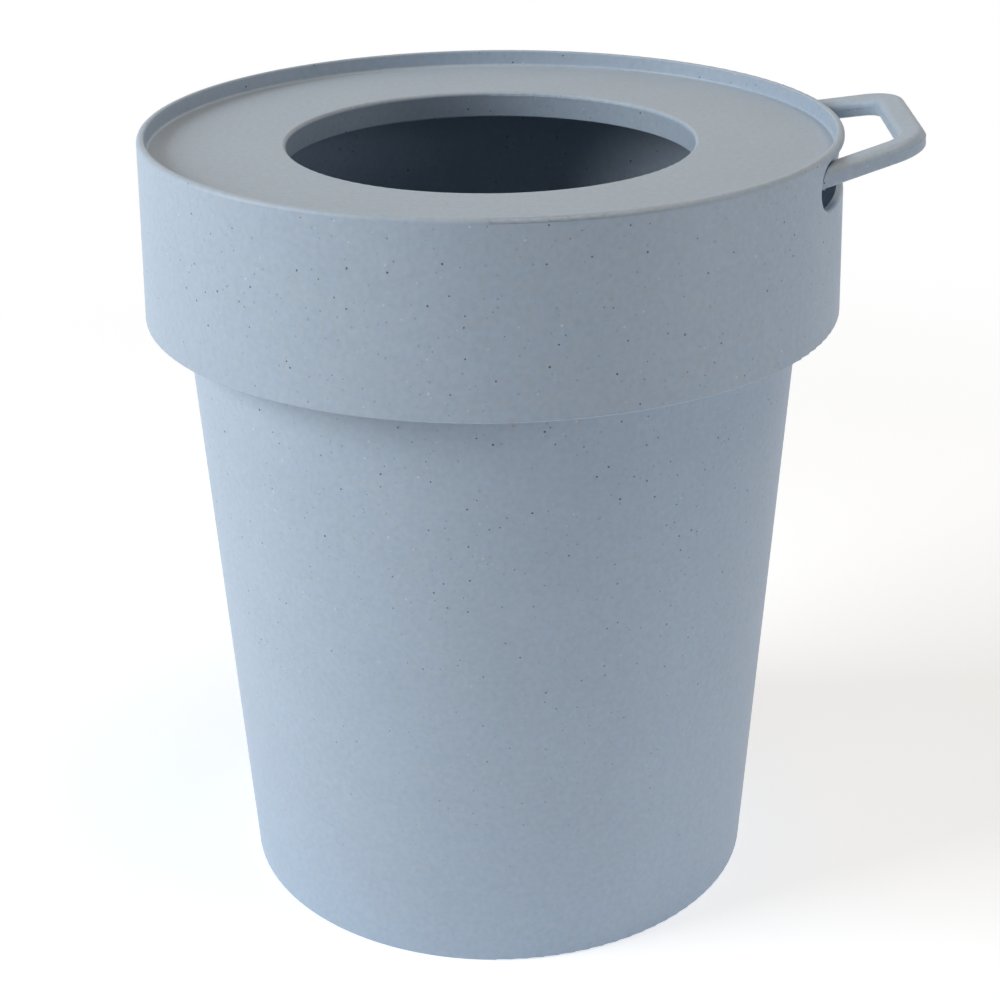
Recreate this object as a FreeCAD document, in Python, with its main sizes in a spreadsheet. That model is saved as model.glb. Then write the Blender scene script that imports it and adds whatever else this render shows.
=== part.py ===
import FreeCAD
import Part
import Sketcher
import os

# A small round bin: a tapered bucket, a finger loop on its rim, and a cap lid with a drop hole.
# The lid's skirt hangs over the bucket's rim, and the loop comes out through a slot in that skirt.
# Millimetres, +Z up, origin at the middle of the bucket's underside, loop towards +X.

doc = FreeCAD.newDocument("round_bin")

# Driving dimensions: name, value, meaning.
SIZES = [
    ("rim_radius", 120.0, "lid, outer radius at the rim; the bucket follows it"),
    ("bucket_height", 271.8, "bucket, height of the rim"),
    ("bucket_taper", 16.3, "bucket, how much smaller the wall's radius is at the foot than at the rim"),
    ("bucket_wall", 2.6, "bucket, wall thickness"),
    ("base_thickness", 3.0, "bucket, thickness of the floor"),
    ("base_round", 0.8, "bucket, rounding of the outer edge at the foot"),
    ("floor_round", 5.0, "bucket, rounding between floor and wall"),
    ("flange_width", 3.0, "bucket, how far the rim flange stands out of the wall"),
    ("flange_depth", 4.6, "bucket, height of the rim flange"),
    ("flange_round", 0.7, "bucket, rounding of the rim flange"),
    ("lid_seat_gap", 0.3, "lid, gap between the bucket's rim and the plate"),
    ("plate_thickness", 2.0, "lid, thickness of the plate"),
    ("recess_depth", 5.8, "lid, depth of the plate below the rim"),
    ("rim_width", 2.6, "lid, thickness of the rim above the plate"),
    ("rim_round", 1.6, "lid, rounding of the rim's outer edge"),
    ("rim_inner_round", 0.6, "lid, rounding of the rim's inner edge"),
    ("recess_round", 0.9, "lid, rounding between plate and rim"),
    ("skirt_room", 3.35, "lid, room between the bucket's rim flange and the skirt"),
    ("skirt_flare", 1.8, "lid, how much larger the skirt's radius is at its lower edge than at the rim"),
    ("skirt_wall", 2.4, "lid, thickness of the skirt"),
    ("skirt_depth", 63.0, "lid, height from the skirt's lower edge to the rim"),
    ("skirt_round", 0.8, "lid, rounding of the skirt's lower edge"),
    ("hole_radius", 70.0, "lid, radius of the drop hole at the plate"),
    ("hole_round", 1.2, "lid, rounding of the hole's upper edge"),
    ("hole_flange_flare", 1.8, "lid, how much larger the hole is at the flange's lower edge"),
    ("hole_flange_wall", 2.2, "lid, thickness of the hole's flange at its lower edge"),
    ("hole_flange_depth", 9.8, "lid, depth of the hole's flange below the plate's top"),
    ("hole_flange_round", 0.7, "lid, rounding of the flange's lower edge"),
    ("tab_width", 16.0, "lid, width of a centring tab"),
    ("tab_thickness", 2.2, "lid, thickness of a centring tab"),
    ("tab_depth", 6.0, "lid, how far a centring tab reaches into the bucket"),
    ("tab_clearance", 0.7, "lid, gap between a centring tab and the bucket's wall"),
    ("slot_end_gap", 6.2, "lid, room between the loop's arms and the ends of the slot"),
    ("slot_height", 15.9, "lid, height of the slot on the skirt's outside"),
    ("slot_drop", 18.8, "lid, from the rim down to the slot's lower edge"),
    ("slot_round", 0.9, "lid, rounding of the slot's outer edge"),
    ("roof_lip", 0.3, "lid, height of the slot's inner lip below the plate"),
    ("roof_land", 0.6, "lid, thickness of the slot's inner lip"),
    ("roof_ledge", 1.3, "lid, width of the slot's flat top at the skirt's outside"),
    ("loop_rise", 2.95, "loop, height of its parting line above the bucket's rim, at the lid's rim radius"),
    ("loop_tilt", 12.7, "loop, upward tilt in degrees"),
    ("loop_reach", 20.5, "loop, from the lid's rim radius to the middle of the crossbar"),
    ("loop_root_half", 38.9, "loop, half the distance between the arms at the lid's rim radius"),
    ("loop_lean_in", 8.6, "loop, how far each arm has leant inwards at the crossbar"),
    ("loop_width", 9.4, "loop, width of the bar"),
    ("loop_crown", 2.8, "loop, height of the bar above its parting line"),
    ("loop_depth", 3.35, "loop, depth of the bar below its parting line"),
    ("loop_draft", 5.0, "loop, slope of the bar's sides away from its parting line, in degrees"),
    ("loop_outer_corner", 19.0, "loop, outer corner radius"),
    ("loop_inner_corner", 9.0, "loop, inner corner radius"),
    ("loop_crown_round", 2.6, "loop, rounding of the bar's upper edges"),
    ("loop_foot_round", 1.0, "loop, rounding of the bar's lower edges"),
    ("arm_gap", 0.4, "loop, gap between the arms and the lid above them"),
    ("arm_relief", 0.5, "loop, gap between the arms' step and the slot's bevel"),
    ("tenon_width", 6.0, "loop, width of the tenon at the end of an arm"),
    ("tenon_height", 2.2, "loop, height of the tenon"),
    ("tenon_skin", 1.0, "bucket, wall left behind a tenon"),
    ("fit_clearance", 0.1, "gap all round a tenon and at the end of an arm"),
    ("cut_overrun", 6.0, "how far a cutting shape runs past what it cuts"),
]

sheet = doc.addObject("Spreadsheet::Sheet", "sizes")
for row, (name, number, meaning) in enumerate(SIZES, start=1):
    sheet.set(f"A{row}", meaning)
    sheet.set(f"B{row}", str(number))
    sheet.setAlias(f"B{row}", name)
doc.recompute()


def sized(text):
    """The expression with every sheet name in it spelled out for the expression engine."""
    words = {name for name, number, meaning in SIZES}
    out = ""
    word = ""
    for letter in text + " ":
        if letter.isalnum() or letter == "_":
            word += letter
            continue
        out += f"sizes.{word}" if word in words else word
        out += letter
        word = ""
    return out.strip()


def value(text):
    """The number that an expression on the sheet gives now."""
    answer = sheet.evalExpression(sized(text))
    return float(getattr(answer, "Value", answer))


# Heights and radii that follow from the driving dimensions.
PLATE_UNDER = "(bucket_height + lid_seat_gap)"
PLATE_TOP = f"({PLATE_UNDER} + plate_thickness)"
RIM_TOP = f"({PLATE_TOP} + recess_depth)"
SKIRT_FOOT = f"({RIM_TOP} - skirt_depth)"
HOLE_FLANGE_FOOT = f"({PLATE_TOP} - hole_flange_depth)"
HOLE_FLANGE_INNER = "(hole_radius + hole_flange_flare)"
HOLE_FLANGE_OUTER = f"({HOLE_FLANGE_INNER} + hole_flange_wall)"
FLANGE_FOOT = "(bucket_height - flange_depth)"
FLANGE_RADIUS = "(rim_radius - skirt_wall - skirt_room)"
BUCKET_TOP_RADIUS = f"({FLANGE_RADIUS} - flange_width)"
BASE_RADIUS = f"({BUCKET_TOP_RADIUS} - bucket_taper)"
SKIRT_RADIUS = "(rim_radius + skirt_flare)"
SLOT_FLOOR = f"({RIM_TOP} - slot_drop)"
SLOT_TOP = f"({SLOT_FLOOR} + slot_height)"
ROOF = f"({PLATE_UNDER} - roof_lip)"
LOOP_HEIGHT = "(bucket_height + loop_rise)"


def bucket_radius(height):
    """Outer radius of the bucket's cone at a height."""
    return f"({BASE_RADIUS} + bucket_taper * ({height}) / bucket_height)"


def skirt_outside(height):
    """Outer radius of the lid's skirt at a height."""
    return f"(rim_radius + skirt_flare * ({RIM_TOP} - {height}) / skirt_depth)"


def origin_feature(body, role):
    """An axis or plane of a body's own origin."""
    return next(item for item in body.Origin.OriginFeatures if item.Role == role)


def new_body(name):
    return doc.addObject("PartDesign::Body", name)


def new_sketch(body, name, role, offset=None):
    """A sketch on one of the body's planes, moved along the plane's normal by an expression."""
    sketch = body.newObject("Sketcher::SketchObject", name)
    sketch.AttachmentSupport = (origin_feature(body, role), "")
    sketch.MapMode = "FlatFace"
    if offset:
        sketch.setExpression("AttachmentOffset.Base.z", sized(offset))
    return sketch


def pin(sketch, edge, end, point):
    """Hold a point of the sketch at a pair of expressions, measured from the sketch's origin."""
    axes = (("DistanceX", -2), ("DistanceY", -1))
    for (kind, axis), text in zip(axes, point):
        if text == "0":
            sketch.addConstraint(Sketcher.Constraint("PointOnObject", edge, end, axis))
            continue
        index = sketch.addConstraint(Sketcher.Constraint(kind, -1, 1, edge, end, value(text)))
        sketch.setExpression(f"Constraints[{index}]", sized(text))


def outline(body, name, role, points, offset=None):
    """A closed outline of straight edges through pairs of expressions."""
    sketch = new_sketch(body, name, role, offset)
    places = [FreeCAD.Vector(value(x), value(y), 0) for x, y in points]
    count = len(places)
    for i in range(count):
        sketch.addGeometry(Part.LineSegment(places[i], places[(i + 1) % count]), False)
    for i in range(count):
        sketch.addConstraint(Sketcher.Constraint("Coincident", i, 2, (i + 1) % count, 1))
        pin(sketch, i, 1, points[i])
    return sketch


def revolved(body, name, points):
    """A solid of revolution about Z, from an outline of radius and height pairs."""
    sketch = outline(body, name + "_outline", "XZ_Plane", points)
    turn = body.newObject("PartDesign::Revolution", name)
    turn.Profile = sketch
    turn.ReferenceAxis = (sketch, ["V_Axis"])
    turn.Angle = 360
    doc.recompute()
    return turn


def padded(body, name, sketch, length, reverse=False):
    pad = body.newObject("PartDesign::Pad", name)
    pad.Profile = sketch
    pad.setExpression("Length", sized(length))
    pad.Reversed = reverse
    doc.recompute()
    return pad


def rounded(body, name, base, radius, wanted):
    """A fillet on those edges of the base that the test picks."""
    picked = [f"Edge{i}" for i, edge in enumerate(base.Shape.Edges, start=1) if wanted(edge)]
    fillet = body.newObject("PartDesign::Fillet", name)
    fillet.Base = (base, picked)
    fillet.setExpression("Radius", sized(radius))
    doc.recompute()
    return fillet


def same(first, second):
    """Whether two lengths agree, next to the size of the whole bin."""
    return abs(first - second) < 1e-6 * value("bucket_height")


def ring(*places):
    """A test for the round edges at given radius and height pairs."""
    wanted = [(value(radius), value(height)) for radius, height in places]

    def test(edge):
        curve = edge.Curve
        if not isinstance(curve, Part.Circle):
            return False
        return any(same(curve.Radius, r) and same(curve.Center.z, z) for r, z in wanted)

    return test


def bound(kind, name, places):
    """A Part object whose properties are bound to expressions."""
    item = doc.addObject(kind, name)
    for key, text in places.items():
        item.setExpression(key, sized(text))
    return item


def cut(name, base, tool):
    item = doc.addObject("Part::Cut", name)
    item.Base = base
    item.Tool = tool
    doc.recompute()
    return item


# The loop's arms, and the tenons at their ends, which sit in the bucket's rim flange.
ARM_SLOPE = "(loop_lean_in / loop_reach)"
ARM_TURN = f"sqrt(1 + {ARM_SLOPE} ^ 2)"
HALF_ACROSS = f"(loop_width / 2 * {ARM_TURN})"


def arm_run(radius):
    """How far back along the loop, from the lid's rim radius, an arm's middle line meets a circle round Z."""
    lean = f"(rim_radius * cos(loop_tilt) - loop_root_half * {ARM_SLOPE})"
    stretch = f"(cos(loop_tilt) ^ 2 + {ARM_SLOPE} ^ 2)"
    room = f"(rim_radius ^ 2 + loop_root_half ^ 2 - {radius} ^ 2)"
    return f"(({lean} - sqrt({lean} ^ 2 - {stretch} * {room})) / {stretch})"


def arm_middle(radius):
    """Distance of an arm's middle line from the loop's own middle, at a circle round Z."""
    return f"(loop_root_half + {ARM_SLOPE} * {arm_run(radius)})"


TENON_MIDDLE = arm_middle(FLANGE_RADIUS)
TENON_INNER_SIDE = f"({TENON_MIDDLE} - tenon_width / 2)"
TENON_FOOT = "(bucket_height - flange_depth / 2 - tenon_height / 2)"
WALL_INSIDE = f"({BUCKET_TOP_RADIUS} - bucket_wall)"
TENON_END = f"(sqrt({WALL_INSIDE} ^ 2 - {TENON_INNER_SIDE} ^ 2) + tenon_skin)"
TENON_ROOT = f"sqrt({FLANGE_RADIUS} ^ 2 - {TENON_INNER_SIDE} ^ 2)"
TENON_LENGTH = f"({TENON_ROOT} - {TENON_END} + tenon_width / 2)"


# Bucket: tapered wall, flat floor, and a rim flange that takes the loop's tenons.
bucket_body = new_body("bucket_body")
bucket_outline = [
    ("0", "0"),
    (BASE_RADIUS, "0"),
    (bucket_radius(FLANGE_FOOT), FLANGE_FOOT),
    (FLANGE_RADIUS, FLANGE_FOOT),
    (FLANGE_RADIUS, "bucket_height"),
    (WALL_INSIDE, "bucket_height"),
    (f"{bucket_radius('base_thickness')} - bucket_wall", "base_thickness"),
    ("0", "base_thickness"),
]
bucket_wall = revolved(bucket_body, "bucket_wall_and_floor", bucket_outline)
bucket_foot = rounded(bucket_body, "bucket_foot_round", bucket_wall, "base_round", ring(bucket_outline[1]))
bucket_floor = rounded(bucket_body, "bucket_floor_round", bucket_foot, "floor_round", ring(bucket_outline[6]))
rounded(bucket_body, "bucket_rim_round", bucket_floor, "flange_round", ring(*bucket_outline[3:6]))


def tenon(name, side, clearance):
    """A block for the tenon on one arm, or for its socket with the clearance all round."""
    middle = TENON_MIDDLE if side > 0 else f"-{TENON_MIDDLE}"
    return bound("Part::Box", name, {
        "Length": f"{TENON_LENGTH} + {clearance}",
        "Width": f"tenon_width + 2 * {clearance}",
        "Height": f"tenon_height + 2 * {clearance}",
        "Placement.Base.x": f"{TENON_END} - {clearance}",
        "Placement.Base.y": f"{middle} - tenon_width / 2 - {clearance}",
        "Placement.Base.z": f"{TENON_FOOT} - {clearance}",
    })


left_socket = tenon("left_socket", 1, "fit_clearance")
right_socket = tenon("right_socket", -1, "fit_clearance")
half_bucket = cut("bucket_with_left_socket", bucket_body, left_socket)
bucket = cut("bucket", half_bucket, right_socket)

# Lid: plate, rim, skirt and hole flange turned in one piece, with tabs that centre it in the bucket.
lid_body = new_body("lid_body")
lid_outline = [
    (HOLE_FLANGE_INNER, HOLE_FLANGE_FOOT),
    (HOLE_FLANGE_OUTER, HOLE_FLANGE_FOOT),
    (HOLE_FLANGE_OUTER, PLATE_UNDER),
    (f"{skirt_outside(PLATE_UNDER)} - skirt_wall", PLATE_UNDER),
    (f"{SKIRT_RADIUS} - skirt_wall", SKIRT_FOOT),
    (SKIRT_RADIUS, SKIRT_FOOT),
    ("rim_radius", RIM_TOP),
    ("rim_radius - rim_width", RIM_TOP),
    ("rim_radius - rim_width", PLATE_TOP),
    ("hole_radius", PLATE_TOP),
]
lid_shell = revolved(lid_body, "lid_shell", lid_outline)
lid_steps = [
    ("lid_rim_round", "rim_round", lid_outline[6:7]),
    ("lid_rim_inner_round", "rim_inner_round", lid_outline[7:8]),
    ("lid_recess_round", "recess_round", lid_outline[8:9]),
    ("lid_hole_round", "hole_round", lid_outline[9:10]),
    ("lid_hole_flange_round", "hole_flange_round", lid_outline[0:2]),
    ("lid_skirt_round", "skirt_round", lid_outline[4:6]),
]
lid_solid = lid_shell
for step_name, radius, places in lid_steps:
    lid_solid = rounded(lid_body, step_name, lid_solid, radius, ring(*places))

TAB_FOOT = f"({PLATE_UNDER} - tab_depth)"
TAB_CORNER = f"({bucket_radius(TAB_FOOT)} - bucket_wall - tab_clearance)"
TAB_OUTER = f"sqrt({TAB_CORNER} ^ 2 - (tab_width / 2) ^ 2)"
tab_sketch = outline(lid_body, "tab_outline", "XY_Plane", [
    ("-tab_width / 2", f"{TAB_OUTER} - tab_thickness"),
    ("tab_width / 2", f"{TAB_OUTER} - tab_thickness"),
    ("tab_width / 2", TAB_OUTER),
    ("-tab_width / 2", TAB_OUTER),
], PLATE_UNDER)
tab = padded(lid_body, "centring_tab", tab_sketch, "tab_depth", reverse=True)
tabs = lid_body.newObject("PartDesign::PolarPattern", "centring_tabs")
tabs.Originals = [tab]
tabs.Axis = (origin_feature(lid_body, "Z_Axis"), [""])
tabs.Angle = 180
tabs.Occurrences = 3
lid_body.Tip = tabs
doc.recompute()


def roof(name, below, beside):
    """What lies above the slot's roof: flat under the plate, then rising through the skirt as a bevel.

    The gaps below the flat and beside the bevel are expressions.
    """
    inner = f"({skirt_outside(PLATE_UNDER)} - skirt_wall + roof_land)"
    outer = f"({skirt_outside(SLOT_TOP)} - roof_ledge)"
    body = new_body(name)
    revolved(body, name + "_turn", [
        ("0", f"{ROOF} - {below}"),
        (f"{inner} + {beside}", f"{ROOF} - {below}"),
        (f"2 * {outer} - {inner} + {beside}", f"2 * {SLOT_TOP} - {ROOF} - {below}"),
        ("0", f"2 * {SLOT_TOP} - {ROOF} - {below}"),
    ])
    return body


# Slot: a long round-ended opening, square through the lower skirt and bevelled outwards above the loop's
# arms, so that the rim keeps an unbroken inner wall above the plate.
SLOT_HALF_WIDTH = f"({arm_middle('rim_radius')} + {HALF_ACROSS} + slot_end_gap)"
SLOT_END = f"({SLOT_HALF_WIDTH} - slot_height / 2)"
SLOT_MIDDLE = f"({SLOT_FLOOR} + slot_height / 2)"
slot_body = new_body("slot_body")
slot_sketch = new_sketch(slot_body, "slot_outline", "YZ_Plane", f"{HOLE_FLANGE_OUTER} + cut_overrun")
half, low, high = value(SLOT_END), value(SLOT_FLOOR), value(SLOT_TOP)
middle, bend = value(SLOT_MIDDLE), value("slot_height / 2")
slot_sketch.addGeometry(Part.LineSegment(FreeCAD.Vector(-half, low, 0), FreeCAD.Vector(half, low, 0)), False)
slot_sketch.addGeometry(Part.Arc(
    FreeCAD.Vector(half, low, 0), FreeCAD.Vector(half + bend, middle, 0), FreeCAD.Vector(half, high, 0)
), False)
slot_sketch.addGeometry(Part.LineSegment(FreeCAD.Vector(half, high, 0), FreeCAD.Vector(-half, high, 0)), False)
slot_sketch.addGeometry(Part.Arc(
    FreeCAD.Vector(-half, high, 0), FreeCAD.Vector(-half - bend, middle, 0), FreeCAD.Vector(-half, low, 0)
), False)
for i in range(4):
    slot_sketch.addConstraint(Sketcher.Constraint("Tangent", i, 2, (i + 1) % 4, 1))
for line in (0, 2):
    slot_sketch.addConstraint(Sketcher.Constraint("Horizontal", line))
pin(slot_sketch, 1, 3, (SLOT_END, SLOT_MIDDLE))
pin(slot_sketch, 0, 1, (f"-{SLOT_END}", SLOT_FLOOR))
padded(slot_body, "slot_block", slot_sketch, SKIRT_RADIUS)
slot_tool = cut("slot_tool", slot_body, roof("slot_roof", "0", "0"))
slotted_lid = cut("slotted_lid", lid_body, slot_tool)
EDGE_SHARES = (0, 0.5, 1)


def slot_mouth(edge):
    """Whether an edge of the slotted lid runs round the slot on the skirt's outside."""
    points = [edge.valueAt(edge.FirstParameter + (edge.LastParameter - edge.FirstParameter) * share)
              for share in EDGE_SHARES]
    low, high, side = value(SLOT_FLOOR), value(SLOT_TOP), value(SLOT_HALF_WIDTH)
    top, depth = value(RIM_TOP), value("skirt_depth")
    spread = value("skirt_flare")
    for point in points:
        outside = value("rim_radius") + spread * (top - point.z) / depth
        if not same(FreeCAD.Vector(point.x, point.y, 0).Length, outside):
            return False
        if point.x < 0 or abs(point.y) > side or same(point.z, top):
            return False
        if point.z < low - value("slot_round") or point.z > high + value("slot_round"):
            return False
    return True


lid = doc.addObject("Part::Fillet", "lid")
lid.Base = slotted_lid
mouth = [i for i, edge in enumerate(slotted_lid.Shape.Edges, start=1) if slot_mouth(edge)]
lid.Edges = [(i, value("slot_round"), value("slot_round")) for i in mouth]
doc.recompute()

# Loop: a flat trapezoid bar with drafted, rounded sides, tilted up, whose arms pass below the lid's plate.
loop_body = new_body("loop_body")
ARM_START = f"({arm_run(FLANGE_RADIUS)} * 2)"
BAR_OUTER = "(loop_reach + loop_width / 2)"
BAR_INNER = "(loop_reach - loop_width / 2)"


def arm_line(along):
    """Distance of an arm's middle line from the loop's own middle, at a place along the loop."""
    return f"(loop_root_half - {ARM_SLOPE} * ({along}))"


loop_half = [
    (f"-{ARM_START}", f"{arm_line('-' + ARM_START)} + {HALF_ACROSS}"),
    (BAR_OUTER, f"{arm_line(BAR_OUTER)} + {HALF_ACROSS}"),
    (BAR_INNER, f"{arm_line(BAR_INNER)} - {HALF_ACROSS}"),
    (f"-{ARM_START}", f"{arm_line('-' + ARM_START)} - {HALF_ACROSS}"),
]


def mirrored(points):
    return [(x, f"-({y})") for x, y in points]


loop_outline = [loop_half[0], loop_half[1]] + mirrored([loop_half[1], loop_half[0]])
loop_outline += mirrored([loop_half[3], loop_half[2]]) + [loop_half[2], loop_half[3]]
loop_sketch = outline(loop_body, "loop_outline", "XY_Plane", loop_outline)
loop_bar = padded(loop_body, "loop_bar", loop_sketch, "loop_crown")
loop_bar.SideType = "Two sides"
loop_bar.setExpression("Length2", sized("loop_depth"))
for taper in ("TaperAngle", "TaperAngle2"):
    loop_bar.setExpression(taper, sized("-loop_draft"))
doc.recompute()


def corner(place):
    """A test for the upright edges at one corner of the loop's outline, on both sides of the loop."""
    x, y = value(place[0]), value(place[1])
    reach = value("loop_depth")

    def test(edge):
        ends = [vertex.Point for vertex in edge.Vertexes]
        if len(ends) < 2 or same(ends[0].z, ends[1].z):
            return False
        return all(abs(end.x - x) < reach and abs(abs(end.y) - y) < reach for end in ends)

    return test


def face_edge(height):
    """A test for the edges round the loop's upper or lower face, clear of the arms' ends."""
    level = value(height)
    start = -value(ARM_START)

    def test(edge):
        ends = [vertex.Point for vertex in edge.Vertexes]
        on_face = all(same(end.z, level) for end in ends)
        return on_face and not all(same(end.x, start) for end in ends)

    return test


loop_outside = rounded(loop_body, "loop_outer_corners", loop_bar, "loop_outer_corner", corner(loop_half[1]))
loop_inside = rounded(loop_body, "loop_inner_corners", loop_outside, "loop_inner_corner", corner(loop_half[2]))
loop_upper = rounded(loop_body, "loop_crown_rounds", loop_inside, "loop_crown_round", face_edge("loop_crown"))
rounded(loop_body, "loop_foot_rounds", loop_upper, "loop_foot_round", face_edge("-loop_depth"))

loop_body.Placement = FreeCAD.Placement(FreeCAD.Vector(), FreeCAD.Rotation(FreeCAD.Vector(0, -1, 0), 1))
loop_body.setExpression("Placement.Base.x", sized("rim_radius"))
loop_body.setExpression("Placement.Base.z", sized(LOOP_HEIGHT))
loop_body.setExpression("Placement.Rotation.Angle", sized("loop_tilt"))
doc.recompute()

loop_relieved = cut("loop_below_lid", loop_body, roof("arm_roof", "arm_gap", "arm_relief"))
rim_seat = bound("Part::Cylinder", "rim_seat", {
    "Radius": f"{FLANGE_RADIUS} + fit_clearance",
    "Height": f"{RIM_TOP} + cut_overrun",
})
loop_seated = cut("loop_at_rim", loop_relieved, rim_seat)
loop_handle = doc.addObject("Part::MultiFuse", "loop_handle")
loop_handle.Shapes = [loop_seated, tenon("left_tenon", 1, "0"), tenon("right_tenon", -1, "0")]
doc.recompute()

# Every object must have worked, and every sub-part must be one valid solid, before anything is written.
for item in doc.Objects:
    if "Invalid" in item.State or "Error" in item.State:
        raise RuntimeError(f"{item.Label} failed: {item.State}")

os.makedirs("parts", exist_ok=True)
for piece in (bucket, loop_handle, lid):
    shape = piece.Shape
    if shape.isNull() or not shape.isValid() or len(shape.Solids) != 1:
        raise RuntimeError(f"{piece.Label} is not one valid solid")
    print(piece.Label, round(shape.Volume), "mm3", shape.BoundBox)
    shape.exportStep(f"parts/{piece.Label}.step")
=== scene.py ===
# %% [markdown]
# # A small round bin in speckled plastic
#
# The bin is three mouldings: a tapered bucket, a finger loop on the bucket's rim, and a cap lid with a round
# drop hole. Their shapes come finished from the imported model, in metres, with +Z up and the loop towards +X.
# This script gives them their finish, adds the fine mould line on the loop, and sets up the picture.

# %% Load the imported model
import math

import bpy
from mathutils import Matrix, Vector


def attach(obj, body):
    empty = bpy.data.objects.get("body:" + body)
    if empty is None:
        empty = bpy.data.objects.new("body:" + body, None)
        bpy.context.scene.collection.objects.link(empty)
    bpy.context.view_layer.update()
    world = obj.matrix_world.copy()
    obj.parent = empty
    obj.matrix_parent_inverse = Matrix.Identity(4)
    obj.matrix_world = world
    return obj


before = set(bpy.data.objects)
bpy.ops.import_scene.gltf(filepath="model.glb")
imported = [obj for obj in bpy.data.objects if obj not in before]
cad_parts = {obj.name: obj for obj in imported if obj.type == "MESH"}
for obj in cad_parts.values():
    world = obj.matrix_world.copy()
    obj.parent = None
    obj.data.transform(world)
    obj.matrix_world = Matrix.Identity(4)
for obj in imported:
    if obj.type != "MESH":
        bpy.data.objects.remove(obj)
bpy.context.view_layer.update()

print("pieces:", ", ".join(sorted(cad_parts)))

# %% [markdown]
# ## The camera
#
# The photograph looks down at the bin from a little over its own height. A long lens keeps the wall's taper
# almost straight. The camera could be tracked to a point, but a tracked camera can't be rolled, and the
# photograph leans by half a degree. So its three axes are worked out from heading, pitch and roll, and
# become the columns of the camera's matrix.

# %% Place the camera
CAMERA_PLACE = Vector((0.0237, -0.6778, 0.4419))
CAMERA_HEADING = math.radians(-1.847)
CAMERA_PITCH = math.radians(24.178)
CAMERA_ROLL = math.radians(-0.651)
CAMERA_LENS_MM = 71.98
SENSOR_WIDTH_MM = 36

level = Vector((math.sin(CAMERA_HEADING), math.cos(CAMERA_HEADING), 0))
forward = level * math.cos(CAMERA_PITCH) - Vector((0, 0, math.sin(CAMERA_PITCH)))
right = forward.cross(Vector((0, 0, 1))).normalized()
up = right.cross(forward)
right_rolled = right * math.cos(CAMERA_ROLL) + up * math.sin(CAMERA_ROLL)
up_rolled = up * math.cos(CAMERA_ROLL) - right * math.sin(CAMERA_ROLL)

bpy.ops.object.camera_add()
camera = bpy.context.object
camera.name = "photo_camera"
turn = Matrix((right_rolled, up_rolled, -forward)).transposed()
camera.matrix_world = Matrix.Translation(CAMERA_PLACE) @ turn.to_4x4()
camera.data.sensor_width = SENSOR_WIDTH_MM
camera.data.lens = CAMERA_LENS_MM
bpy.context.scene.camera = camera
print("camera looks along", [round(part, 3) for part in forward])

# %% [markdown]
# ## Shader sums as plain Python
#
# A material here is a graph of small nodes. Wiring each Math node by hand hides the sum that it stands for,
# so a value that a node puts out is wrapped in a small class. Adding or multiplying two such values adds the
# Math node and its links. Every other kind of node comes from one method. A Mix node has sockets for each
# kind of value, all with the same names, so they are picked by number.

# %% Wrap the sockets of a node tree
MIX_SOCKETS = {"VECTOR": (4, 5, 1), "RGBA": (6, 7, 2)}  # first input, second input, output


class Shade:
    """A value that a node puts out. Sums of such values add the Math nodes that work them out."""

    def __init__(self, tree, socket=None):
        self.tree = tree
        self.socket = socket

    def node(self, kind, settings=None, inputs=None, output=0):
        """A new node: its settings are set first, then its inputs are filled with numbers or links."""
        made = self.tree.nodes.new(kind)
        for name, setting in (settings or {}).items():
            setattr(made, name, setting)
        for name, given in (inputs or {}).items():
            if isinstance(given, Shade):
                self.tree.links.new(given.socket, made.inputs[name])
            else:
                made.inputs[name].default_value = given
        return Shade(self.tree, made.outputs[output] if made.outputs else None)

    def sum(self, operation, *terms):
        """A Math node on numbers."""
        return self.node("ShaderNodeMath", {"operation": operation}, dict(enumerate(terms)))

    def vector(self, operation, inputs, output=0):
        """A Vector Math node."""
        return self.node("ShaderNodeVectorMath", {"operation": operation}, inputs, output)

    def mix(self, kind, factor, first, second):
        """The first value where the factor is 0, and the second where it is 1."""
        first_socket, second_socket, output = MIX_SOCKETS[kind]
        inputs = {"Factor": factor, first_socket: first, second_socket: second}
        return self.node("ShaderNodeMix", {"data_type": kind}, inputs, output)

    def __add__(self, other):
        return self.sum("ADD", self, other)

    def __sub__(self, other):
        return self.sum("SUBTRACT", self, other)

    def __rsub__(self, other):
        return self.sum("SUBTRACT", other, self)

    def __mul__(self, other):
        return self.sum("MULTIPLY", self, other)

    __radd__ = __add__
    __rmul__ = __mul__


def new_material(name):
    """An empty material and the wrapper of its node tree."""
    material = bpy.data.materials.new(name)
    material.use_nodes = True
    material.node_tree.nodes.clear()
    return material, Shade(material.node_tree)


def show(graph, surface):
    """Join a shader to the material's output."""
    graph.node("ShaderNodeOutputMaterial", inputs={"Surface": surface})


# %% [markdown]
# ## The speckled plastic
#
# The real plastic is pale blue-grey with ground flakes moulded in: small dark specks, fainter ones that lie
# just under the skin, and fewer cream ones. Painted dots would need an image. A Voronoi texture scatters one
# point in each cell of space, and a surface that passes within half a millimetre of such a point shows a
# round speck, smaller the further it passes from the middle. That is how real flakes in a moulding look, and
# it needs no unwrapping. The coordinates are jittered first, so that flakes aren't all round.
#
# The flakes are plainest on upright faces near the rim. Faces that lie flat, such as the lid's plate, and the
# bucket's foot show few of them. So the height and the slope of the surface decide how much of a flake shows.

# %% Describe the flakes
COOL_PLASTIC = (0.327, 0.428, 0.555, 1)
WARM_PLASTIC = (0.363, 0.428, 0.513, 1)
DARK_FLAKE = (0.035, 0.043, 0.058, 1)
SUNK_FLAKE = (0.22, 0.28, 0.36, 1)
CREAM_FLAKE = (0.72, 0.70, 0.66, 1)

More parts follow.
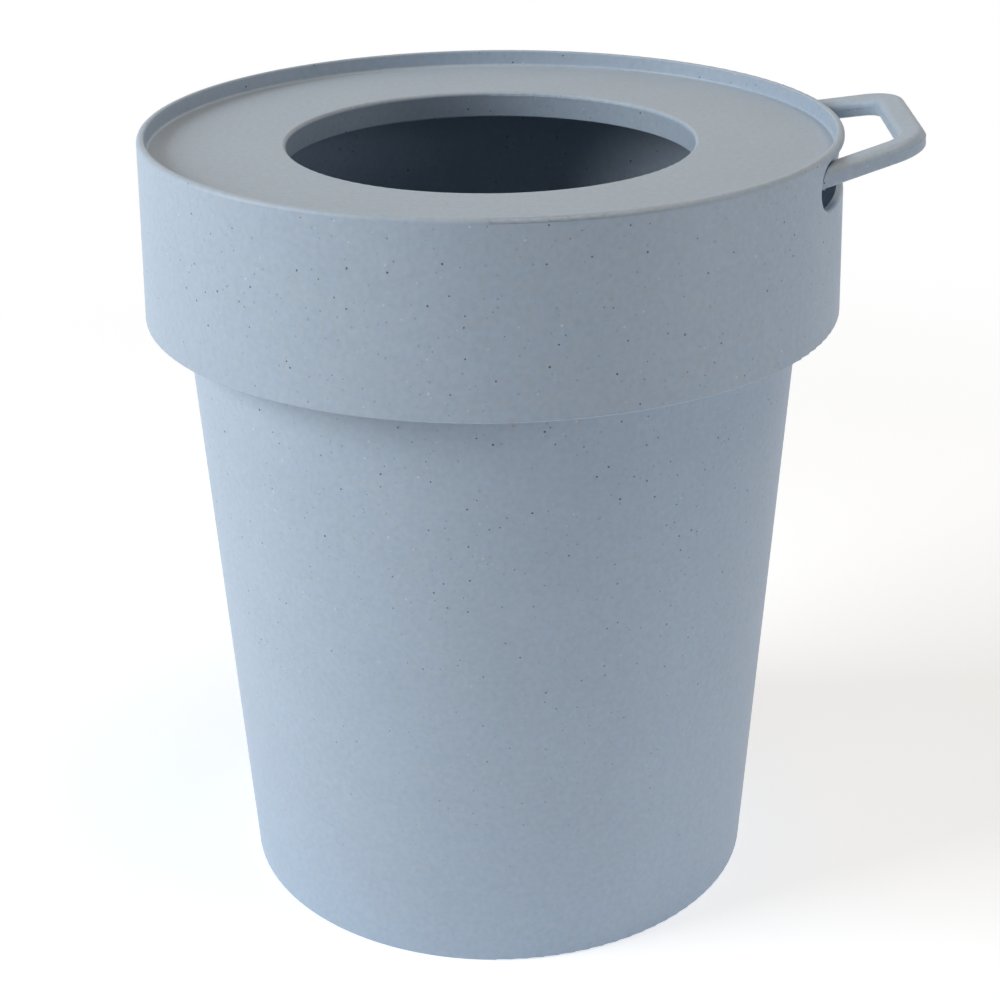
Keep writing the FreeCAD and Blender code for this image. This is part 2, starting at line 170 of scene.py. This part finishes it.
# Each kind of flake: colour, spacing in metres, radius in metres, and how much of it shows.
FLAKES = (
    (SUNK_FLAKE, 0.0034, 0.00052, 0.55),
    (CREAM_FLAKE, 0.0050, 0.00046, 0.45),
    (DARK_FLAKE, 0.0040, 0.00040, 0.90),
)
SMALLEST_FLAKE, FLAKE_GROWTH = 0.55, 0.75  # times the radius
FLAKE_CORE = 0.45  # the share of a flake's radius that is full strength
FOOT_HEIGHT, PLAIN_HEIGHT, SHOWN_AT_FOOT = 0.02, 0.18, 0.15
STEEP_SLOPE, FLAT_SLOPE, SHOWN_ON_FLAT = 0.4, 0.9, 0.22


def noise(graph, place, spacing, detail):
    """Soft noise from 0 to 1 whose lumps are about as far apart as the spacing."""
    return graph.node(
        "ShaderNodeTexNoise", inputs={"Vector": place, "Scale": 1 / spacing, "Detail": detail}
    )


def flakes(graph, place, spacing, radius):
    """A mask that is 1 inside the flakes and falls to 0 at their edge; flakes differ in size."""
    settings = {"voronoi_dimensions": "3D", "feature": "F1"}
    inputs = {"Vector": place, "Scale": 1 / spacing}
    distance = graph.node("ShaderNodeTexVoronoi", settings, inputs)
    chance = graph.node("ShaderNodeTexVoronoi", settings, inputs, "Color")
    size = graph.node("ShaderNodeSeparateColor", inputs={"Color": chance})
    reach = radius / spacing * (SMALLEST_FLAKE + FLAKE_GROWTH * size)
    return graph.node("ShaderNodeMapRange", {"interpolation_type": "SMOOTHSTEP"}, {
        "Value": distance, "From Min": reach, "From Max": FLAKE_CORE * reach, "To Min": 0.0, "To Max": 1.0,
    })


def shown_share(graph, inside):
    """How much of each flake shows: from the height above the floor, and from how far the face looks up."""
    height = graph.node("ShaderNodeSeparateXYZ", inputs={"Vector": inside}, output="Z")
    facing = graph.node("ShaderNodeTexCoord", output="Normal")
    slope = graph.node("ShaderNodeSeparateXYZ", inputs={"Vector": facing}, output="Z")
    by_height = graph.node("ShaderNodeMapRange", inputs={
        "Value": height, "From Min": FOOT_HEIGHT, "From Max": PLAIN_HEIGHT,
        "To Min": SHOWN_AT_FOOT, "To Max": 1.0,
    })
    by_slope = graph.node("ShaderNodeMapRange", inputs={
        "Value": slope, "From Min": STEEP_SLOPE, "From Max": FLAT_SLOPE,
        "To Min": 1.0, "To Max": SHOWN_ON_FLAT,
    })
    return by_height * by_slope


for flake_colour, flake_spacing, flake_radius, flake_strength in FLAKES:
    print("flakes", round(1000 * flake_spacing, 1), "mm apart, up to",
          round(2000 * flake_radius * (SMALLEST_FLAKE + FLAKE_GROWTH), 1), "mm across")


# %% [markdown]
# ## The rounded edges
#
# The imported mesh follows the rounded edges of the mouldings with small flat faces, and where these differ in
# size the light along an edge breaks up into beads. More faces would help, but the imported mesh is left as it
# is. Each of these edges is a ring with a round section, so the way that it faces can be worked out: away
# from the middle of its section. There the material uses that direction, and elsewhere the one of the mesh.

# %% Work out which way an edge faces
# Each edge: radius and height of the ring through the middle of its section, in metres, then 1 for an edge
# outside that ring or -1 for one inside it, and 1 for an edge above it or -1 for one below it.
ROUNDED_EDGES = {
    "bucket": ((0.09420, 0.0008, 1, -1),),
    "lid": (
        (0.11845, 0.2783, 1, 1),
        (0.07144, 0.2729, -1, 1),
        (0.12098, 0.2177, 1, -1),
        (0.12018, 0.2177, -1, -1),
    ),
    "loop_handle": (),
}


def edge_facing(graph, inside, edges):
    """The way that the surface faces: the mesh's own, but on each rounded edge that of a true rounding."""
    facing = graph.node("ShaderNodeNewGeometry", output="Normal")
    height = graph.node("ShaderNodeSeparateXYZ", inputs={"Vector": inside}, output="Z")
    flat = graph.vector("MULTIPLY", {0: inside, 1: (1, 1, 0)})
    radius = graph.vector("LENGTH", {0: flat}, "Value")
    outward = graph.vector("NORMALIZE", {0: flat})
    for ring_radius, ring_height, out_side, up_side in edges:
        out, up = radius - ring_radius, height - ring_height
        sideways = graph.vector("SCALE", {0: outward, "Scale": out})
        upwards = graph.node("ShaderNodeCombineXYZ", inputs={"Z": up})
        rounded = graph.node(
            "ShaderNodeVectorTransform",
            {"vector_type": "NORMAL", "convert_from": "OBJECT", "convert_to": "WORLD"},
            {"Vector": graph.vector("ADD", {0: sideways, 1: upwards})},
        )
        past_ring = graph.sum("GREATER_THAN", out * out_side, 0.0)
        past_height = graph.sum("GREATER_THAN", up * up_side, 0.0)
        facing = graph.mix("VECTOR", past_ring * past_height, facing, rounded)
    return graph.vector("NORMALIZE", {0: facing})


print("rounded edges:", {moulding_name: len(edges) for moulding_name, edges in ROUNDED_EDGES.items()})

# %% [markdown]
# ## The mixed plastic
#
# The resin under the flakes isn't even either: its tone drifts over a few centimetres and clouds over a few
# millimetres, and its hue runs from cool to warm. A fine grain breaks up the gloss. All of these are noise at
# different spacings, and the flakes are laid over them, kind by kind.

# %% Mix the plastic
FLAKE_JITTER, JITTER_SPACING = 0.00035, 0.0008

# Each noise: its spacing in metres and its detail.
MOTTLE = (0.028, 3)
CLOUD = (0.0020, 2)
HUE = (0.0031, 1)
GRAIN = (0.0006, 2)
GRAIN_HEIGHT = 0.000012
LEAST_TONE, MOTTLE_TONE, CLOUD_TONE = 0.84, 0.08, 0.24
LEAST_ROUGHNESS, GRAIN_ROUGHNESS, FLAKE_ROUGHNESS = 0.47, 0.1, 0.1
PLASTIC_IOR = 1.47


def speckled_plastic(name, shift, edges):
    """Satin speckled plastic. The shift moves the pattern, so that no two mouldings share their flakes."""
    material, graph = new_material(name)
    inside = graph.node("ShaderNodeTexCoord", output="Object")
    place = graph.node("ShaderNodeMapping", inputs={"Vector": inside, "Location": shift})
    wander = graph.node(
        "ShaderNodeTexNoise", inputs={"Vector": place, "Scale": 1 / JITTER_SPACING}, output="Color"
    )
    jitter = graph.vector("MULTIPLY_ADD", {0: wander, 1: (FLAKE_JITTER,) * 3, 2: place})
    tone = LEAST_TONE + MOTTLE_TONE * noise(graph, place, *MOTTLE) + CLOUD_TONE * noise(graph, place, *CLOUD)
    resin = graph.mix("RGBA", noise(graph, place, *HUE), COOL_PLASTIC, WARM_PLASTIC)
    colour = graph.vector("SCALE", {0: resin, "Scale": tone})
    shown = shown_share(graph, inside)
    specks = 0
    for flake, spacing, radius, strength in FLAKES:
        mask = flakes(graph, jitter, spacing, radius) * (strength * shown)
        specks = mask + specks
        colour = graph.mix("RGBA", mask, colour, flake)
    grain = noise(graph, place, *GRAIN)
    bump = graph.node("ShaderNodeBump", inputs={
        "Height": grain,
        "Distance": GRAIN_HEIGHT,
        "Strength": 1.0,
        "Normal": edge_facing(graph, inside, edges),
    })
    plastic = graph.node("ShaderNodeBsdfPrincipled", inputs={
        "Base Color": colour,
        "Roughness": LEAST_ROUGHNESS + GRAIN_ROUGHNESS * grain + FLAKE_ROUGHNESS * specks,
        "Normal": bump,
        "IOR": PLASTIC_IOR,
    })
    show(graph, plastic)
    return material


# %% Give each moulding its own plastic
NODE_SHIFTS = {
    "bucket": (0.0, 0.0, 0.0),
    "lid": (0.31, 0.17, 0.05),
    "loop_handle": (-0.23, 0.41, 0.11),
}
for node_name, shift in NODE_SHIFTS.items():
    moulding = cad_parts[node_name]
    moulding.data.materials[0] = speckled_plastic(f"speckled_{node_name}", shift, ROUNDED_EDGES[node_name])
    print(node_name, "wears", moulding.data.materials[0].name)

# %% [markdown]
# ## The mould line on the loop
#
# The loop is moulded between two halves that meet where its bar is widest, and a hair of plastic creeps into
# the joint. A bump could draw it, but a bump leaves the outline smooth, and this line shows best where it
# catches the light at the edge. So it is a thin slice, cut from a copy of the loop along the joint, with its
# sides pushed out by a sixth of a millimetre. The part of the slice inside the lid's skirt is cut away.

# %% Slice the mould line
LOOP_TILT = math.radians(12.7)
JOINT_MIDDLE = Vector((0.120, 0, 0.27475))
JOINT_NORMAL = Vector((-math.sin(LOOP_TILT), 0, math.cos(LOOP_TILT)))
LINE_HEIGHT = 0.00036
SKIRT_SIDE = 0.1185
MERGE_DISTANCE = 0.000001


def keep_side(place, away):
    """Cut the mesh with a plane, close the cut, and drop what lies on the side that the arrow points to."""
    bpy.ops.mesh.select_all(action="SELECT")
    bpy.ops.mesh.bisect(plane_co=place, plane_no=away, use_fill=True, clear_outer=True)


bpy.ops.object.select_all(action="DESELECT")
loop_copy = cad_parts["loop_handle"].data.copy()
mould_line = bpy.data.objects.new("loop_mould_line", loop_copy)
bpy.context.collection.objects.link(mould_line)
mould_line.select_set(True)
bpy.context.view_layer.objects.active = mould_line
bpy.ops.mesh.customdata_custom_splitnormals_clear()
bpy.ops.object.mode_set(mode="EDIT")
bpy.ops.mesh.select_all(action="SELECT")
bpy.ops.mesh.remove_doubles(threshold=MERGE_DISTANCE)
keep_side(JOINT_MIDDLE + JOINT_NORMAL * LINE_HEIGHT / 2, JOINT_NORMAL)
keep_side(JOINT_MIDDLE - JOINT_NORMAL * LINE_HEIGHT / 2, -JOINT_NORMAL)
keep_side((SKIRT_SIDE, 0, 0), (-1, 0, 0))
print("slice of the loop:", round(1000 * LINE_HEIGHT, 2), "mm high")

# %% Push out the sides of the slice
LINE_STANDS_OUT = 0.00016
LARGEST_LEAN = 0.5  # of a side face towards the slice's top or bottom
CUT_END_FACING = -0.99  # the cut ends face back along X
SLIVER_SIZE = 0.000005
SMOOTH_ANGLE = math.radians(35)

bpy.ops.mesh.select_all(action="DESELECT")
bpy.ops.object.mode_set(mode="OBJECT")
for face in mould_line.data.polygons:
    is_side = abs(face.normal.dot(JOINT_NORMAL)) < LARGEST_LEAN
    face.select = is_side and face.normal.x > CUT_END_FACING
bpy.ops.object.mode_set(mode="EDIT")
bpy.ops.transform.shrink_fatten(value=LINE_STANDS_OUT)
bpy.ops.mesh.select_all(action="SELECT")
bpy.ops.mesh.dissolve_degenerate(threshold=SLIVER_SIZE)
bpy.ops.mesh.normals_make_consistent(inside=False)
bpy.ops.object.mode_set(mode="OBJECT")
bpy.ops.object.shade_smooth_by_angle(angle=SMOOTH_ANGLE)
mould_line.data.materials[0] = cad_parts["loop_handle"].data.materials[0]
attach(mould_line, "bin")
line_box = [mould_line.matrix_world @ Vector(corner) for corner in mould_line.bound_box]
print("mould line:", len(mould_line.data.polygons), "faces, up to",
      round(1000 * max(corner.x for corner in line_box), 2), "mm out")

# %% [markdown]
# ## Floor and surround
#
# The bin stands on a pale table in a white surround. The table's top throws light up at the bucket's wall, so
# rays that light the bin meet a pale floor that glows a little near the bin. The camera, and anything glossy,
# should see plain white with the bin's soft shadow on it. Light Path tells the two apart. Away from the bin
# both the glow and the shadow fade out, and the floor takes on the white of the surround: no horizon shows.

# %% Lay the floor
FLOOR_SIZE = 16
BLACK = (0, 0, 0, 1)
FLOOR_COLOUR = (0.86, 0.86, 0.86, 1)
FLOOR_GLOW = (0.36, 0.41, 0.47, 1)
SHADOW_COLOUR = (0.62, 0.67, 0.74, 1)
SHADOW_SHARE = 0.43
FADE_START, FADE_END = 0.3, 0.8  # metres from the bin's middle


def seen_directly(graph):
    """1 for rays from the camera, and for mirrored or refracted ones; 0 for rays that gather light."""
    rays = [graph.node("ShaderNodeLightPath", output=f"Is {kind} Ray")
            for kind in ("Camera", "Glossy", "Transmission")]
    return graph.sum("MAXIMUM", graph.sum("MAXIMUM", rays[0], rays[1]), rays[2])


bpy.ops.object.select_all(action="DESELECT")
bpy.ops.mesh.primitive_plane_add(size=FLOOR_SIZE, location=(0, 0, 0))
floor = bpy.context.object
floor.name = "floor"
floor_material, floor_graph = new_material("pale_floor")
spot = floor_graph.node("ShaderNodeTexCoord", output="Object")
distance = floor_graph.vector("LENGTH", {0: spot}, "Value")
near = floor_graph.node("ShaderNodeMapRange", {"interpolation_type": "SMOOTHSTEP"}, {
    "Value": distance, "From Min": FADE_START, "From Max": FADE_END, "To Min": 1.0, "To Max": 0.0,
})
white = floor_graph.node("ShaderNodeEmission", inputs={"Strength": 1 - SHADOW_SHARE * near})
shadow_colour = floor_graph.mix("RGBA", near, BLACK, SHADOW_COLOUR)
shadow = floor_graph.node("ShaderNodeBsdfDiffuse", inputs={"Color": shadow_colour})
glow = floor_graph.node("ShaderNodeEmission", inputs={"Color": FLOOR_GLOW, "Strength": near})
table = floor_graph.node("ShaderNodeBsdfDiffuse", inputs={"Color": FLOOR_COLOUR})
show(floor_graph, floor_graph.node("ShaderNodeMixShader", inputs={
    0: seen_directly(floor_graph),
    1: floor_graph.node("ShaderNodeAddShader", inputs={0: table, 1: glow}),
    2: floor_graph.node("ShaderNodeAddShader", inputs={0: shadow, 1: white}),
}))
floor.data.materials.append(floor_material)
print("floor:", FLOOR_SIZE, "m square, shadow kept within", FADE_END, "m")

# %% White surround
ROOM_LEVEL = 0.03
world = bpy.data.worlds.new("surround")
world.use_nodes = True
world.node_tree.nodes.clear()
world_graph = Shade(world.node_tree)
surround = world_graph.node("ShaderNodeBackground", inputs={
    "Color": (1, 1, 1, 1),
    "Strength": ROOM_LEVEL + (1 - ROOM_LEVEL) * seen_directly(world_graph),
})
world_graph.node("ShaderNodeOutputWorld", inputs={"Surface": surround})
bpy.context.scene.world = world
bpy.context.scene.view_settings.view_transform = "Standard"
print("surround gives light at level", ROOM_LEVEL)

# %% [markdown]
# ## Lamps
#
# Three soft square lamps light the bin. The key stands to the left and a little forward, so that the wall
# runs from bright on the left to dark at the middle. A weak, low one at the front right lifts the wall again
# towards its right edge. The last hangs overhead, a little to the right, for the lid's plate and the top of
# its rim. A lamp could be given in watts, but then its light changes with its distance, so each is given by
# the light it throws on a white card.

# %% Hang the lamps
BIN_MIDDLE = Vector((0, 0, 0.16))


def soft_lamp(name, heading, height, distance, size, level, colour):
    """A square lamp that faces the bin. Its level is the light that it gives a white card facing it."""
    heading, height = math.radians(heading), math.radians(height)
    level_part = Vector((math.sin(heading), math.cos(heading), 0))
    away = level_part * math.cos(height) + Vector((0, 0, math.sin(height)))
    bpy.ops.object.light_add(type="AREA", location=BIN_MIDDLE + away * distance)
    lamp = bpy.context.object
    lamp.name = name
    lamp.rotation_euler = away.to_track_quat("Z", "Y").to_euler()
    lamp.data.shape = "SQUARE"
    lamp.data.size = size
    lamp.data.energy = level * math.pi ** 2 * distance ** 2  # so many watts give the card that level
    lamp.data.color = colour
    print(name, "at", [round(part, 2) for part in lamp.location], "m, level", level)


# Name, heading and height in degrees, distance and size in metres, level, colour.
soft_lamp("key_lamp", -106, 27, 1.8, 1.0, 0.93, (0.99, 0.99, 0.97))
soft_lamp("low_fill", 115, 8, 1.6, 1.0, 0.25, (0.90, 0.95, 1.0))
soft_lamp("overhead", 100, 72, 1.9, 1.2, 0.42, (1.0, 0.80, 0.58))
